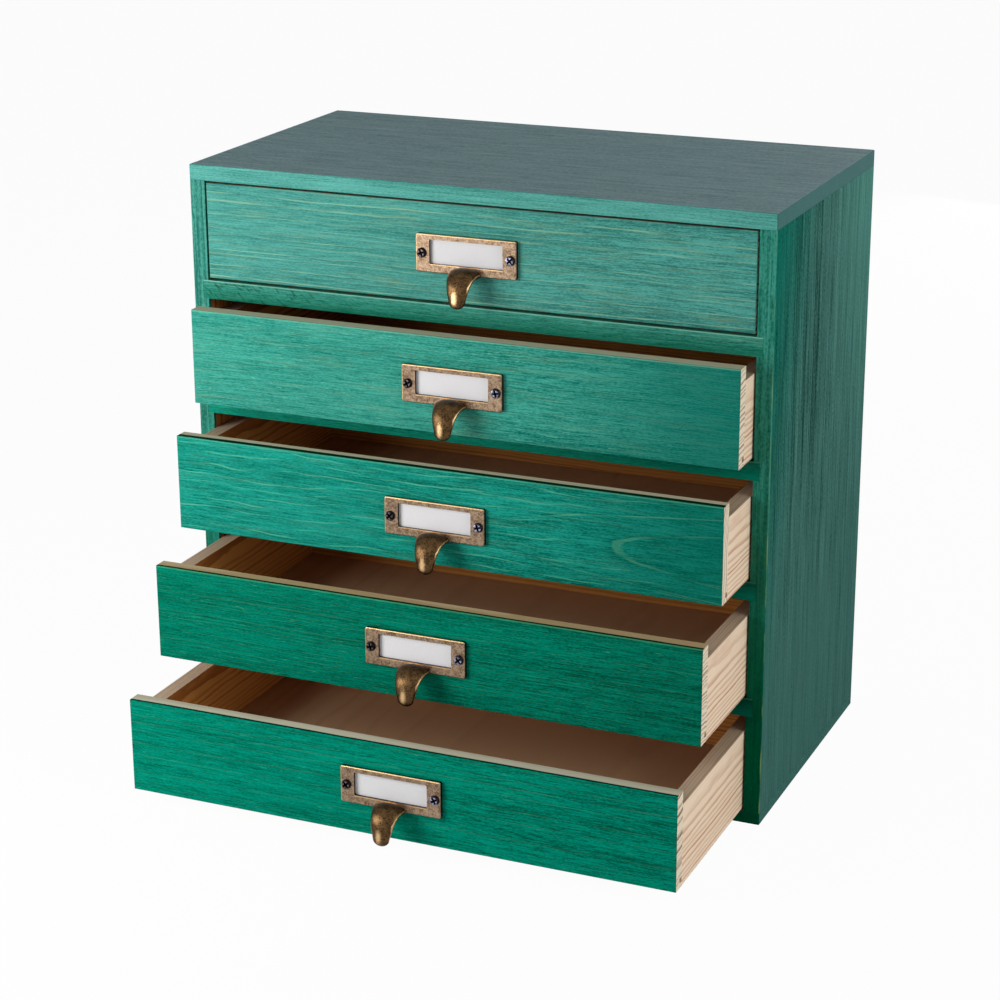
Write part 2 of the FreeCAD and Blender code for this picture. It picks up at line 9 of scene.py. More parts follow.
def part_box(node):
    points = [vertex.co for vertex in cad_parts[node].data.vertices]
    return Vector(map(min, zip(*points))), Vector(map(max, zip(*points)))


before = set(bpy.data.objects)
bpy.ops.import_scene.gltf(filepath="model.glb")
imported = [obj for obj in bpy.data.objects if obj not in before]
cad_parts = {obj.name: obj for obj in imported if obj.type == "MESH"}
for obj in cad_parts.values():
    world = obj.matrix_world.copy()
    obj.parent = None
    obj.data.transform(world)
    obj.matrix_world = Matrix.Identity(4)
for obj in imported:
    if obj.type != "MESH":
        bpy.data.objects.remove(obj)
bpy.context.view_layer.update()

DRAWERS = 5
MM = 1000          # millimetres in a metre: finishes are written in millimetres
AXES = "XYZ"
X, Y, Z = range(3)


def colour(red, green, blue):
    """A colour given as the 0 to 255 values of a screen, in linear light."""
    def linear(part):
        part /= 255
        return part / 12.92 if part <= 0.04045 else ((part + 0.055) / 1.055) ** 2.4
    return (linear(red), linear(green), linear(blue), 1)


# --- finishes: a small language for shader nodes --------------------------------

class Wire:
    """One output of a tree's nodes. Arithmetic on it adds Math nodes."""

    def __init__(self, nodes, socket):
        self.nodes = nodes
        self.socket = socket

    def maths(self, operation, *others):
        return self.nodes.maths(operation, self, *others)

    def __add__(self, other):
        return self.maths("ADD", other)

    def __sub__(self, other):
        return self.maths("SUBTRACT", other)

    def __rsub__(self, other):
        return self.nodes.maths("SUBTRACT", other, self)

    def __mul__(self, other):
        return self.maths("MULTIPLY", other)

    def __truediv__(self, other):
        return self.maths("DIVIDE", other)

    def __rtruediv__(self, other):
        return self.nodes.maths("DIVIDE", other, self)

    def __neg__(self):
        return self * -1

    def __abs__(self):
        return self.maths("ABSOLUTE")

    __radd__ = __add__
    __rmul__ = __mul__

    def lowest(self, other):
        return self.maths("MINIMUM", other)

    def highest(self, other):
        return self.maths("MAXIMUM", other)

    def clamped(self):
        """No less than 0 and no more than 1."""
        return self.highest(0.0).lowest(1.0)


class Nodes:
    """The shader nodes of a material or a world, with one method that adds any of them."""

    def __init__(self, owner):
        owner.use_nodes = True
        self.tree = owner.node_tree
        self.tree.nodes.clear()

    def add(self, kind, inputs, output=0, **settings):
        node = self.tree.nodes.new("ShaderNode" + kind)
        for name, value in settings.items():
            setattr(node, name, value)
        for name, value in inputs.items():
            if isinstance(value, Wire):
                self.tree.links.new(value.socket, node.inputs[name])
            else:
                node.inputs[name].default_value = value
        return Wire(self, node.outputs[output]) if node.outputs else None

    def maths(self, operation, *values):
        return self.add("Math", dict(enumerate(values)), operation=operation)

    def white_to_the_eye(self, lit, white, share=1.0):
        """White as the camera, metal and glass see it, and lit for the light that it passes on."""
        camera, metal, glass = (self.add("LightPath", {}, f"Is {ray} Ray")
                                for ray in ("Camera", "Glossy", "Transmission"))
        seen = camera.highest(metal).highest(glass)
        return self.add("MixShader", {0: seen * share, 1: lit, 2: white})


class Finish(Nodes):
    """One material."""

    def __init__(self, name):
        self.material = bpy.data.materials.new(name)
        super().__init__(self.material)

    def place(self):
        """x, y and z of the point, in millimetres, in the cabinet's own frame."""
        where = self.add("TexCoord", {}, "Object")
        scaled = self.add("VectorMath", {0: where, "Scale": MM}, operation="SCALE")
        return [self.add("SeparateXYZ", {0: scaled}, axis) for axis in AXES]

    def noise(self, x, y, z, detail):
        """Noise of about -0.5 to 0.5 whose features are one unit across."""
        where = self.add("CombineXYZ", {0: x, 1: y, 2: z})
        cloud = self.add("TexNoise", {"Vector": where, "Scale": 1.0, "Detail": detail}, "Fac")
        return cloud - 0.5

    def grit(self, size, detail):
        """Noise whose grains are some millimetres across in every direction."""
        return self.noise(*(part / size for part in self.place()), detail)

    def mix(self, share, first, second):
        return self.add("Mix", {0: share, 6: first, 7: second}, 2, data_type="RGBA")

    def rise(self, value, low, high):
        """0 below low, 1 above high and smooth between."""
        return self.add("MapRange", {"Value": value, "From Min": low, "From Max": high},
                        interpolation_type="SMOOTHSTEP")

    def fall(self, value, low, high):
        """1 below low, 0 above high and smooth between."""
        return 1 - self.rise(value, low, high)

    def between(self, value, start, full, wane, gone):
        """1 in a band: it grows from start to full and dies out from wane to gone."""
        return self.rise(value, start, full) * self.fall(value, wane, gone)

    def surface(self, base, roughness, relief, height, metallic=0.0, shine=0.5):
        """A surface whose relief is so high, in millimetres. A shine of 0.5 is that of plain varnish."""
        normal = self.add("Bump", {"Height": relief, "Distance": height / MM, "Strength": 1.0})
        self.end(self.add("BsdfPrincipled", {
            "Base Color": base, "Roughness": roughness, "Metallic": metallic,
            "Specular IOR Level": shine, "Normal": normal}))

    def end(self, shader):
        self.add("OutputMaterial", {"Surface": shader})

    def dress(self, node):
        """Give every slot of a piece this finish."""
        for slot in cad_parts[node].material_slots:
            slot.material = self.material


# --- wood -------------------------------------------------------------------------

RAW_EARLY = colour(236, 214, 188)
RAW_LATE = colour(174, 116, 72)
RAW_TOP = colour(168, 146, 122)      # the sawn top edges have gone grey-brown, and the faces inside the drawers are a deeper honey brown
INSIDE_EARLY = colour(222, 158, 84)  # and the faces inside the drawers honey brown
INSIDE_LATE = colour(162, 96, 42)
SAWN_TOP = (0.1, 0.3)                # how deep the grey-brown goes, whole and gone, in millimetres
INSIDE_SKIN = 0.5                    # and the honey brown
WOOD_ROUGHNESS = 0.62
BARE_RELIEF = 0.05                   # how high the grain of bare and of stained wood stands
STAINED_RELIEF = 0.02

SEED_STEP = 37.0                     # between the patterns of two boards, in millimetres
STRAY = (150, 30)                    # how rings stray, in millimetres along and across the grain
RIPPLE = (24, 7)                     # and how they ripple
YEARS = 11                           # millimetres of growth between good and poor years
YEARS_SWING = 2.2                    # and how many rings these crowd or spread
# Late wood in a ring that runs from 0 to 1: where it begins, is full, wanes and ends, and where
# its dark vein lies.
LATE_WOOD = (0.35, 0.85, 0.9, 1.0)
VEIN_AT = 0.85
LAYER = 1.2                          # how deep a layer of like marks is, in millimetres
STREAKS = 4                          # how many fibres long a streak is
END_GRAIN = (0.1, 0.4)               # how far the end grain reaches in, whole and gone


class Board:
    """A board's box and grain, for the pattern that is cut from its log.

    The rings are round cylinders about the log's middle, the pith, which lies
    beside the board. Cut through, they give long lines on the faces and arcs
    on the ends. A slope tilts the log, which turns lines into arches. Spacing
    is from ring to ring, wander and ripple are how far the rings stray, and
    fibre is the length of the fibres, all in millimetres. A vein's width is a
    share of the spacing.
    """

    def __init__(self, node, grain, pith, spacing, seed, wander=4.0, ripple=1.3, slope=0.0,
                 fibre=14, vein=0.18):
        low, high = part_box(node)
        self.node, self.grain, self.spacing = node, grain, spacing
        self.low = [MM * v for v in low]
        self.high = [MM * v for v in high]
        self.middle = [(a + b) / 2 for a, b in zip(self.low, self.high)]
        self.size = [b - a for a, b in zip(self.low, self.high)]
        self.pith, self.seed, self.wander, self.ripple = pith, seed, wander, ripple
        self.slope, self.fibre, self.vein = slope, fibre, vein


class Pine:
    """A board's wood: its finish, its rings and its marks, each about -0.5 to 0.5 or 0 to 1."""

    def __init__(self, board):
        self.board = board
        self.finish = Finish(board.node)
        self.place = self.finish.place()
        finish = self.finish
        local = [p - m for p, m in zip(self.place, board.middle)]
        along = local.pop(board.grain)
        first, second = local
        shift = board.seed * SEED_STEP
        far = along + shift

        def drifting(length, width):
            return finish.noise(far / length, first / width, second / width + shift, 2.0)

        drift = drifting(*STRAY) * board.wander + drifting(*RIPPLE) * board.ripple
        self.cut_rings(along, first, second, drift, shift)

        lane = second + drift
        depth = first / LAYER

        def mark(length, width, rate=1, way=1, detail=2.0):
            """Marks of a size in millimetres, which change with depth and are shifted by the seed."""
            return finish.noise(far / length, lane / width, depth * rate + shift * way, detail)

        worn = finish.rise(mark(length=40, width=5), -0.2, 0.12)
        self.veins = self.veins * worn
        self.fibres = mark(length=board.fibre, width=0.6, detail=1.0)
        self.streaks = mark(length=board.fibre * STREAKS, width=1.4, way=-1)
        self.grit = mark(length=1.8, width=0.55, way=-1, detail=1.0)
        self.bands = mark(length=130, width=10, way=0, detail=1.0)
        self.thin = finish.rise(mark(length=45, width=4, rate=0.25), 0.0, 0.25)
        flecks = mark(length=8, width=0.5, rate=2, detail=1.0)
        self.dashes = finish.rise(flecks, 0.2, 0.28)
        self.pores = finish.rise(-flecks, 0.14, 0.26)
        self.ends = finish.fall(board.size[board.grain] / 2 - abs(along), *END_GRAIN)
        self.under = board.high[Z] - self.place[Z]
        self.relief = self.fibres * 0.6 + self.late * 0.5

    def cut_rings(self, along, first, second, drift, shift):
        """Late wood and veins, from how far a point lies from the pith. No two rings are as strong."""
        board, finish = self.board, self.finish
        arms = first - board.pith[0], second - board.pith[1]
        reach = (arms[0] * arms[0] + arms[1] * arms[1]).maths("SQRT")
        radius = reach + drift + along * board.slope
        years = finish.add("TexNoise", {"W": radius / YEARS + shift, "Detail": 1.0, "Scale": 1.0}, "Fac",
                           noise_dimensions="1D")
        phase = radius / board.spacing + years * YEARS_SWING
        ring = phase.maths("FRACT")
        weight = finish.add("TexWhiteNoise", {"W": phase.maths("FLOOR")}, "Value", noise_dimensions="1D")
        self.late = finish.between(ring, *LATE_WOOD) * (weight * 0.65 + 0.35)
        off = abs(ring - VEIN_AT) / board.vein
        self.veins = finish.fall(off, 0.3, 0.75) * (weight * 0.7 + 0.3)

    def raw(self, early=RAW_EARLY, late=RAW_LATE):
        """Bare pine: tan lines in cream wood."""
        tone = self.late * 0.85 + self.streaks * 0.25 + self.fibres * 0.35
        return self.finish.mix(self.finish.rise(tone, -0.2, 1.05), early, late)

    def depth_from(self, faces):
        """How far a point lies behind the nearest of some faces, as a share of each face's reach."""
        nearest = None
        for face, reach in faces.items():
            axis = AXES.index(face[1].upper())
            if face[0] == "-":
                depth = (self.place[axis] - self.board.low[axis]) / reach
            else:
                depth = (self.board.high[axis] - self.place[axis]) / reach
            nearest = depth if nearest is None else nearest.lowest(depth)
        return nearest


class StainedPine(Pine):
    """Pine with a green stain on some faces and bare wood on the rest.

    A stain is three colours: deep in the open grain, bright on the plain wood
    and pale in the veins and flecks. Paint lays it, the methods after it lay
    more over it, and dress ends it.
    """

    def __init__(self, board, veins=0.3, flecks=0.3, lines=0.14, strength=None):
        """How strongly veins, flecks and late lines show, and where the grain grows stronger."""
        super().__init__(board)
        self.behind = self.place[Y] - board.low[Y]
        play = self.bands * 0.45 + self.streaks * 0.35 + self.fibres * 0.9 + self.grit * 0.75
        play = play - self.late * lines - self.pores * 0.3
        if strength:
            axis, low, high, least, more = strength
            play = play * (self.finish.rise(self.place[axis], low, high) * more + least)
        self.tone = self.finish.rise(play, *TONE)
        self.flecked = self.dashes * flecks
        self.veined = self.veins * veins
        self.light = self.veined.highest(self.flecked)

    def wave(self):
        """Arches in a band at the right, and fine waved lines before, above and below them."""
        finish, seed = self.finish, self.board.seed
        x, height = self.place[X], self.place[Z] - self.board.middle[Z]
        arched = finish.rise(x, *ARCHES_BEGIN)
        outside = 1 - arched * finish.between(height, *ARCHES_BAND)
        sway = finish.noise(x / SWAY_LENGTH, height / SWAY_HEIGHT, seed, 2.0) * WAVE_SWAY
        level = (height + sway) / WAVE_SPACING
        broken = finish.rise(finish.noise(x / BREAK_LENGTH, level * 1.5, seed + 5, 2.0), -0.12, 0.15)
        line = finish.fall(abs(level.maths("FRACT") - 0.5), *WAVE_LINE)
        figured = self.veined * (arched * 1.15 + 0.15)
        self.light = figured.highest(self.flecked).highest(line * broken * outside * 0.5)

    def brushed(self, colours):
        deep, bright, pale = colours
        return self.finish.mix(self.light, self.finish.mix(self.tone, deep, bright), pale)

    def paint(self, stain):
        self.stain = stain
        self.green = self.brushed(stain)

    def lay(self, share, over):
        self.green = self.finish.mix(share, self.green, over)

    def thin_out(self, share):
        """Let the wood show where the stain is thin."""
        self.lay(self.thin * share, THIN_WOOD)

    def shade_rightwards(self, share):
        """Darken towards the right with painted shade."""
        self.lay(self.finish.rise(self.place[X], *RIGHTWARD_SHADE) * share, self.stain[0])

    def shade_foot(self, foot):
        # Painted shade: the face deepens in colour towards its foot.
        self.lay(self.finish.rise(self.under, 0, self.board.size[Z]) * 0.6, foot)

    def score(self, whole, gone):
        """Slanting strokes at the left end, which die out between two places."""
        x, z = self.place[X], self.place[Z]
        strokes = self.finish.noise((x + z) / STROKE_WIDTH, (x - z) / STROKE_LENGTH, self.behind / 3, 1.0)
        strokes = self.finish.rise(strokes, 0.08, 0.16) * self.finish.fall(x, whole, gone)
        self.lay(strokes * 0.55, self.stain[0])

    def paint_sheen(self):
        """Grey the stain towards the back and the foot, and pale it high at the back: a painted sheen."""
        finish, z = self.finish, self.place[Z]
        lower = (CASE_TOP - z) * SHEEN_BY_DROP
        sheen = finish.rise(self.behind / SHEEN_REACH + lower, 0.0, 1.0)
        self.lay(sheen, self.brushed(SIDE_SHEEN))
        high_sheen = finish.rise(self.behind, HIGH_SHEEN_START, self.board.size[Y]) * finish.rise(z, *HIGH_SHEEN_HEIGHTS)
        self.lay(high_sheen * 0.5, SIDE_HIGH_SHEEN)

    def shade_and_light_front_edge(self, low, high):
        """Give the front edge its own stain, with painted shade low down and painted light high up."""
        height = self.finish.rise(self.place[Z], *EDGE_HEIGHTS)
        edge = self.finish.mix(height, self.brushed(low), self.brushed(high))
        self.lay(self.finish.fall(self.behind, *EDGE_SKIN), edge)

    def light_arris(self, share):
        """Paint a highlight where the upper arris of the face catches the light."""
        lit = self.finish.fall(self.under, *ARRIS_DOWN) * self.finish.fall(self.behind, *ARRIS_BACK)
        self.lay(lit * share, self.stain[2])

    def wear_corner(self):
        """Rub through the stain in places along the right front corner."""
        finish, (x, y, z) = self.finish, self.place
        corner = (self.board.high[X] - x).highest(self.behind)
        rub = finish.rise(finish.noise(z / RUB_LENGTH, x / RUB_WIDTH, y / RUB_WIDTH, 3.0), -0.1, 0.2)
        self.lay(finish.fall(corner, *CORNER_WEAR) * rub * 0.6, WORN_CORNER)

    def darken_ends(self, over=None, share=0.45):
        self.lay(self.ends * share, over or self.stain[0])

    def cover(self, faces, early, late):
        """Let the stain soak some faces, to the depth of each one's reach, and leave the rest bare."""
        self.wood = self.raw(early, late)
        self.covered = self.finish.fall(self.depth_from(faces) + self.fibres * 0.9, *SOAKING)

    def bare_top(self, top, bleed):
        """Give the top edge a colour of its own, on to which the stain of the face has bled."""
        finish = self.finish
        above = finish.fall(self.under, *TOP_EDGE)
        self.wood = finish.mix(above * 0.8, self.wood, top)
        frayed = self.behind + self.streaks * 1.5
        soaked = above * finish.fall(frayed, bleed - BLEED_BLUR, bleed + BLEED_BLUR)
        self.lay(above * finish.rise(self.behind, *SOAKED_FROM), SOAKED)
        self.covered = self.covered.highest(soaked)

    def dress(self, shine=0.0):
        base = self.finish.mix(self.covered, self.wood, self.green)
        roughness = WOOD_ROUGHNESS - self.covered * 0.1 + self.fibres * 0.12
        self.finish.surface(base, roughness, self.relief, STAINED_RELIEF, shine=shine)
        self.finish.dress(self.board.node)


def dress_bare(board, early=RAW_EARLY, late=RAW_LATE, inner=None):
    """Bare pine all over, with its face to the drawer's inside, if any, a deeper honey brown."""
    pine = Pine(board)
    finish = pine.finish
    base = pine.raw(early, late)
    if inner:
        honey = finish.fall(pine.depth_from({inner: INSIDE_SKIN}), 0.4, 1.0)
        base = finish.mix(honey, base, pine.raw(INSIDE_EARLY, INSIDE_LATE))
    base = finish.mix(finish.fall(pine.under, *SAWN_TOP) * 0.7, base, RAW_TOP)
    finish.surface(base, pine.fibres * 0.1 + WOOD_ROUGHNESS, pine.relief, BARE_RELIEF, shine=0.15)
    finish.dress(board.node)


# --- the carcase --------------------------------------------------------------------

CASE_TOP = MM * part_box("top_panel")[1].z
SKIN = 0.6         # how deep the stain soaked into a face, in millimetres
WRAP = 3.5         # and how far it runs in at the front edges
RAIL_WRAP = 7.0    # and over the foot of a rail
LYING = {"-y": WRAP, "+y": SKIN, "-x": SKIN, "+x": SKIN}
UPRIGHT = {"-y": WRAP, "+y": SKIN}

TONE = (-0.62, 0.48)        # the play of the grain at which a stain is deepest and brightest
SOAKING = (0.6, 1.0)        # where a stain begins to end in the wood, and ends, as shares of its reach
RIGHTWARD_SHADE = (20, 170)       # from where to where painted shade darkens the stain, to the right of the cabinet's middle
EDGE_HEIGHTS = (40, 340)    # between the low stain with painted shade and the high one with painted light
EDGE_SKIN = (0.25, 0.6)     # how deep these go, whole and gone
ARRIS_DOWN = (0.35, 0.9)    # how far a painted highlight on an arris reaches down the face, whole and gone,
ARRIS_BACK = (0.5, 0.9)     # and back over the top
CORNER_WEAR = (0.35, 0.75)  # how far a corner is worn on each side, whole and gone
RUB_LENGTH = 18             # how long and wide a rubbed spot on it is
RUB_WIDTH = 2
# Where the grain grows stronger: the axis, two places on it, and the least and the added strength.
SIDE_STRENGTH = (Z, 60, 260, 0.5, 1.0)
SHEEN_REACH = 110         # a side is all grey with painted sheen so far behind its front edge
SHEEN_BY_DROP = 0.0026    # and so much sooner for each millimetre below the top
HIGH_SHEEN_START = 60             # how far behind the front edge a paler painted sheen begins
HIGH_SHEEN_HEIGHTS = (100, 330)   # and between which heights
# Strokes on the first rail: their size, and the places at the left where they die out.
STROKE_WIDTH = 2.2
STROKE_LENGTH = 12
RAIL_STROKES = (-110, -50)

# Stains: deep, bright and pale.
# The top's stain, greyed blue by a painted sheen.
TOP_STAIN_AND_SHEEN = (colour(92, 124, 129), colour(156, 186, 190), colour(160, 186, 178))
TOP_END = colour(20, 84, 78)
SIDE_STAIN = (colour(0, 64, 54), colour(22, 120, 104), colour(70, 136, 112))
# The grey and, high at the back, the pale of the painted sheen on the sides.
SIDE_SHEEN = (colour(0, 42, 37), colour(81, 130, 122), colour(104, 150, 132))
SIDE_HIGH_SHEEN = colour(90, 150, 138)
WORN_CORNER = colour(132, 164, 104)
RAIL_STAIN = (colour(4, 76, 60), colour(70, 166, 146), colour(150, 214, 190))
# A painted shade at the first rail's foot.
RAIL_FOOT = colour(0, 106, 78)
# Rails 2 to 4 are deeper in tone: painted shade under the open drawers.
LOW_RAIL_SHADED_STAIN = (colour(0, 52, 34), colour(40, 176, 152), colour(110, 200, 164))
# A painted shade at the foot of rails 2 to 4.
LOW_RAIL_FOOT = colour(0, 122, 96)
LOW_RAIL_RIGHTWARD_SHADE = (0.7, 0.74, 0.89)   # painted shade of rails 2 to 4, towards the right
# The stains of the front edges, low and high up: painted shade low down, and painted light high up and
# more on the left.
LEFT_EDGE_SHADE_AND_LIGHT = ((colour(0, 64, 46), colour(14, 118, 96), colour(70, 140, 104)),
             (colour(36, 110, 97), colour(82, 162, 146), colour(122, 174, 140)))
RIGHT_EDGE_SHADE_AND_LIGHT = ((colour(0, 48, 28), colour(0, 96, 66), colour(64, 124, 74)),
              (colour(24, 106, 88), colour(68, 156, 138), colour(126, 176, 130)))
PLATE_EDGE_SHADE_AND_LIGHT = (LEFT_EDGE_SHADE_AND_LIGHT[0], (colour(46, 122, 112), colour(106, 188, 176), colour(140, 206, 182)))
CASE_RAW_EARLY = colour(190, 124, 66)
CASE_RAW_LATE = colour(126, 70, 30)
PLY_EARLY = colour(252, 202, 150)
PLY_LATE = colour(226, 170, 120)
THIN_WOOD = colour(150, 166, 122)


def dress_top():
    top = StainedPine(Board("top_panel", X, pith=(140, -40), spacing=2.6, seed=1, fibre=30))
    top.paint(TOP_STAIN_AND_SHEEN)
    # Painted light on the top's front edge.
    top.shade_and_light_front_edge(*PLATE_EDGE_SHADE_AND_LIGHT)
    top.darken_ends(TOP_END, 0.85)
    top.cover({**LYING, "+z": SKIN}, CASE_RAW_EARLY, CASE_RAW_LATE)
    top.dress(shine=0.01)


def dress_bottom():
    board = Board("bottom_panel", X, pith=(-20, 60), spacing=2.4, seed=2)
    bottom = StainedPine(board, strength=SIDE_STRENGTH)
    bottom.paint(SIDE_STAIN)
    # Painted sheen, greying the stain towards the back and the foot.
    bottom.paint_sheen()
    # Painted shade on the low front edge.
    bottom.shade_and_light_front_edge(*RIGHT_EDGE_SHADE_AND_LIGHT)
    bottom.cover({**LYING, "-z": SKIN}, CASE_RAW_EARLY, CASE_RAW_LATE)
    bottom.dress()


def dress_side(name, face, pith, seed, edge):
    board = Board(f"{name}_side_panel", Z, pith=(pith, 140), spacing=4.6, seed=seed, wander=8.0,
                  ripple=2.0, fibre=40)
    side = StainedPine(board, lines=0.3, strength=SIDE_STRENGTH)
    side.paint(SIDE_STAIN)
    # Painted sheen, greying the stain towards the back and the foot.
    side.paint_sheen()
    # Painted shade low down and painted light high up on the front edge.
    side.shade_and_light_front_edge(*edge)
    if name == "right":
        side.wear_corner()
    side.darken_ends()
    side.cover({face: SKIN, **UPRIGHT}, CASE_RAW_EARLY, CASE_RAW_LATE)
    side.dress()


def dress_rail(n):
    rail = StainedPine(Board(f"front_rail_{n}", X, pith=(10, 40), spacing=2.2, seed=10 + n, fibre=8))
    if n == 1:
        rail.paint(RAIL_STAIN)
        rail.thin_out(0.06)
        rail.shade_foot(RAIL_FOOT)
        rail.score(*RAIL_STROKES)
        rail.light_arris(0.6)
    else:
        rail.paint(LOW_RAIL_SHADED_STAIN)
        # Painted shade towards the right.
        rail.shade_rightwards(LOW_RAIL_RIGHTWARD_SHADE[n - 2])
        rail.shade_foot(LOW_RAIL_FOOT)
        rail.light_arris(0.2)
    rail.darken_ends()
    rail.cover({"-y": RAIL_WRAP}, CASE_RAW_EARLY, CASE_RAW_LATE)
    rail.dress()


def dress_carcase():
    """Stain the outside of the carcase and leave its inside bare."""
    dress_top()
    dress_bottom()
    dress_side("left", "-x", pith=30, seed=3, edge=LEFT_EDGE_SHADE_AND_LIGHT)
    dress_side("right", "+x", pith=-30, seed=4, edge=RIGHT_EDGE_SHADE_AND_LIGHT)
    for n in range(1, DRAWERS):
        dress_rail(n)
    back = Board("back_panel", Z, pith=(0, 120), spacing=7.0, seed=20, wander=7, slope=0.08)
    dress_bare(back, PLY_EARLY, PLY_LATE)
    for node in ("top_dowels", "bottom_dowels"):
        dress_bare(Board(node, Z, pith=(0, 40), spacing=2.4, seed=90))


# --- the drawers --------------------------------------------------------------------

# Stains of the drawers from the top one down: deep, bright and pale. The upper ones are paler and greyer
# with a painted sheen.
DRAWER_STAINS_AND_SHEEN = [
    (colour(46, 116, 107), colour(91, 175, 163), colour(160, 210, 172)),
    (colour(0, 110, 95), colour(76, 177, 158), colour(136, 208, 178)),
    (colour(0, 92, 76), colour(34, 166, 147), colour(104, 196, 158)),
    (colour(0, 74, 54), colour(0, 138, 112), colour(80, 170, 120)),
    (colour(0, 84, 64), colour(0, 152, 126), colour(80, 178, 134)),
]
# How each front was cut from its log: pith, ring spacing, wander, slope and vein width.
FRONT_CUTS = [
    ((12, -75), 4.0, 4.0, 0.0, 0.15),
    ((6, -90), 3.0, 4.0, 0.0, 0.18),
    ((60.35, -3), 2.6, 1.2, -0.03, 0.075),
    ((-6, -80), 2.6, 4.0, 0.0, 0.18),
    ((-12, 85), 4.8, 4.0, 0.0, 0.16),
]
# How it took its stain: the strength of its veins and flecks, how much wood shows, how much painted
# shade darkens it towards the right and how brightly a painted highlight lights its upper arris.
FRONT_COATS = [
    (0.7, 0.2, 0.2, 0.05, 0.0),
    (0.25, 0.75, 0.14, 0.78, 0.45),
    (0.6, 0.2, 0.06, 0.66, 0.35),
    (0.25, 0.5, 0.0, 0.2, 0.45),
    (0.2, 0.4, 0.0, 0.05, 0.0),
]
FRONT_STRENGTH = (X, -60, 120, 1.0, 0.6)
FRONT_SKIN = 0.8
WAVED_FRONT = 3                   # this front's lines are waved round a band of arches
ARCHES_BEGIN = (59, 86)           # that begins here, to the right of the cabinet's middle,
ARCHES_BAND = (-13, -9, 14, 18)   # and lies here, above and below the front's own middle
WAVE_SPACING = 5.5                # how far apart the waved lines are
WAVE_SWAY = 16                    # how far they sway up and down,
SWAY_LENGTH = 75                  # and how long and high one sway is
SWAY_HEIGHT = 30
BREAK_LENGTH = 30                 # how long they run before they break off
WAVE_LINE = (0.03, 0.08)          # half a line's width, whole and gone, as a share of the spacing
# The bare wood of the fronts' ends; each one's top edge, and how far the stain bled on to it.
END_EARLY = colour(232, 220, 196)
END_LATE = colour(112, 74, 52)
FRONT_TOPS = [
    # the first front's top edge is darker: painted shade in its gap under the top panel
    (colour(110, 96, 76), 0.8),
    (colour(190, 180, 152), 0.8),
    (colour(202, 190, 160), 4.4),
    (colour(190, 160, 116), 2.6),
    (colour(196, 190, 168), 2.3),
]
TOP_EDGE = (0.1, 0.4)      # how deep its colour goes, whole and gone
BLEED_BLUR = 0.3           # how softly the bled stain ends
SOAKED = colour(0, 44, 30)
SOAKED_FROM = (0.4, 0.8)   # how far behind the face it is dark like this


def dress_front(n):
    """Stain a drawer's front face and leave its ends and top edge bare."""
    pith, spacing, wander, slope, vein = FRONT_CUTS[n - 1]
    veins, flecks, thinness, rightward_shade, arris = FRONT_COATS[n - 1]
    board = Board(f"drawer_{n}_front", X, pith, spacing, seed=30 + n, wander=wander,
                  ripple=wander / 3, slope=slope, vein=vein)
    front = StainedPine(board, veins, flecks, strength=FRONT_STRENGTH)
    if n == WAVED_FRONT:
        front.wave()
    # The stain carries a painted sheen, stronger on the upper drawers.
    front.paint(DRAWER_STAINS_AND_SHEEN[n - 1])
    front.thin_out(thinness)
    # Painted shade towards the right.
    front.shade_rightwards(rightward_shade)
    front.light_arris(arris)
    front.darken_ends()
    front.cover({"-y": FRONT_SKIN}, END_EARLY, END_LATE)
    front.bare_top(*FRONT_TOPS[n - 1])
    front.dress(shine=0.008)


def dress_drawer(n):
    """Stain the front, and leave the rest of the drawer and its runners bare."""
    dress_front(n)
    for side, sign, inner in (("left", -1, "+x"), ("right", 1, "-x")):
        board = Board(f"drawer_{n}_{side}_side", Y, pith=(-sign * 34, 22), spacing=2.0,
                      seed=40 + 2 * n + sign, wander=2.0)
        dress_bare(board, inner=inner)
    dress_bare(Board(f"drawer_{n}_back", X, pith=(10, 50), spacing=2.4, seed=60 + n), inner="-y")
    bottom = Board(f"drawer_{n}_bottom", Y, pith=(40, 300), spacing=8.0, seed=70 + n, wander=10)
    dress_bare(bottom, PLY_EARLY, PLY_LATE)
    dress_bare(Board(f"runners_{n}", Y, pith=(20, 50), spacing=2.4, seed=80 + n))


# --- brass, steel and card -----------------------------------------------------------

# The pulls, in millimetres.
PLATE_THICKNESS = 2.3
WINDOW_DROP = 16.7      # from the plate's top to the foot of its window
HOOK_ROOT = 18.5        # the hook's width at the plate
HOOK_NECK = 12.2        # after its bend
HOOK_TIP = 10.0         # and near its tip
HOOK_STEM = 1.8         # how far it runs straight out
HOOK_BEND = 10.0        # the radius of its bend
HOOK_TURN = 82          # how many degrees it turns down
BEND_DROP = 29.0        # from the plate's top to the end of the bend
HOOK_DROP = 4.4         # from there to where the tip begins to close

# Where their brass is brown or darkened with painted shade, in millimetres before the plate's face or
# behind it.
HOOK_BROWNS = (0.2, 1.2)            # before it the hook's brown takes over from the plate's,
ROOT_SHADE = (0.3, 1.5, 3.5, 8.0)   # and the hook's root is darker with painted shade;
SHADED_WALLS = (0.55, 0.75)                # behind it the walls are dark with painted shade,
SHADED_RIM = (0.03, 0.15, 0.45, 0.62)      # and so is the rim to the right and below
# Where it is painted bright: painted highlights, on the hook's nose over a spot worn by hands.
HIGHLIT_EDGE = (0.4, 0.8)            # how far in from the plate's left and upper edges
SILL = (0.0, 0.15, 0.5, 0.8)        # how far below the window,
SILL_ENDS = (21.5, 22)              # and how far out from its middle
NOSE = (-0.9, 5.5)                  # to the right of the hook's middle and above its tip
NOSE_SIZE = (2.0, 4.6)

